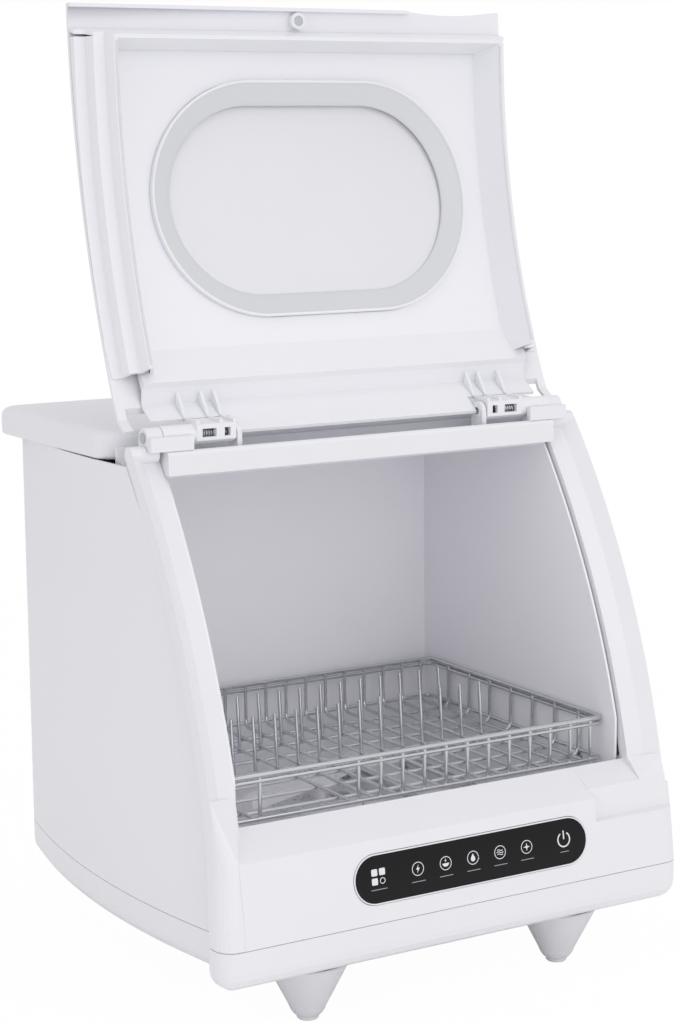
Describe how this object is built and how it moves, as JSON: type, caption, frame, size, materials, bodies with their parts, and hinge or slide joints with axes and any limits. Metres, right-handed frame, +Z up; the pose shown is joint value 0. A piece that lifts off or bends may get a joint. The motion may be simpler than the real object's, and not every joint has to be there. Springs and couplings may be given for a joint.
{
  "type": "countertop dishwasher",
  "caption": "Countertop dishwasher with a lift-up curved lid and window, wash tub with spray arm and wire basket, touch panel on the front, on tapered feet.",
  "frame": {"origin": "centre of the footprint on the table, under the middle of the body", "axes": "+X to the right of a person facing the front, -Y towards that person, +Z up"},
  "size_m": [0.418, 0.4132, 0.7593],
  "materials": {
    "white_body": "satin white ABS",
    "white_lid": "satin white ABS",
    "tub_plastic": "matte light grey polypropylene",
    "grey_plastic": "matte grey",
    "black_plastic": "matte black",
    "panel_glass": "gloss black acrylic",
    "pane": "milky clear polycarbonate",
    "bright_wire": "bright plated steel wire",
    "rubber": "soft silicone",
    "hose_rubber": "matte EPDM",
    "steel": "stainless",
    "motor_metal": "painted",
    "circuit_board": "solder mask"
  },
  "bodies": {
    "housing": {"base_pan": "white_body", "feet": "white_body", "foot_pads": "rubber", "side_panel_left": "white_body", "side_panel_right": "white_body", "rear_cover": "white_body", "top_deck": "white_body", "front_frame": "white_body", "panel_bezel": "white_body", "touch_panel": "panel_glass", "header_bar": "white_body", "hinge_block_left": "white_body", "hinge_block_right": "white_body", "hinge_pin_left": "steel", "hinge_pin_right": "steel", "hinge_springs": "steel", "wash_tub": "tub_plastic", "tub_gasket": "hose_rubber", "sump": "tub_plastic", "sump_cover": "tub_plastic", "spray_spindle": "tub_plastic", "spray_nut": "tub_plastic", "heater": "steel", "float_guide": "tub_plastic", "wash_pump": "grey_plastic", "wash_motor": "motor_metal", "drain_pump": "grey_plastic", "wash_hoses": "hose_rubber", "drain_hose": "hose_rubber", "water_tank": "tub_plastic", "fill_valve": "white_body", "inlet_connector": "white_body", "drain_connector": "grey_plastic", "cord_gland": "hose_rubber", "control_board": "circuit_board", "power_board": "circuit_board", "lid_switch": "black_plastic", "rear_screws": "steel", "base_screws": "steel", "hinge_screws": "steel"},
    "lid": {"lid_shell": "white_lid", "lid_liner": "white_lid", "window_frame": "white_lid", "window_pane": "pane", "lid_seal": "rubber", "lid_magnet": "steel", "magnet_ring": "white_lid", "hinge_lug_left": "white_lid", "hinge_lug_right": "white_lid"},
    "spray_arm": {"spray_arm": "tub_plastic"},
    "impeller": {"wash_impeller": "tub_plastic"},
    "basket": {"basket": "bright_wire", "basket_caps": "rubber"},
    "filter_cup": {"filter_cup": "tub_plastic"},
    "float": {"float_cap": "black_plastic"}
  },
  "joints": [
    {"name": "lid_hinge", "type": "hinge", "parent": "housing", "child": "lid", "pos_m": [0, -0.058, 0.4355], "axis": [1, 0, 0], "range_deg": [0, 168.5]},
    {"name": "spray_arm_spin", "type": "hinge", "parent": "housing", "child": "spray_arm", "pos_m": [0, 0.015, 0.128], "axis": [0, 0, 1], "continuous": true},
    {"name": "impeller_spin", "type": "hinge", "parent": "housing", "child": "impeller", "pos_m": [-0.058, 0.084, 0.0765], "axis": [1, 0, 0], "continuous": true},
    {"name": "basket_lift", "type": "slide", "parent": "housing", "child": "basket", "axis": [0, 0, 1], "range_m": [0, 0.06]},
    {"name": "filter_lift", "type": "slide", "parent": "housing", "child": "filter_cup", "axis": [0, 0, 1], "range_m": [0, 0.012]},
    {"name": "float_rise", "type": "slide", "parent": "housing", "child": "float", "axis": [0, 0, 1], "range_m": [0, 0.006]}
  ]
}
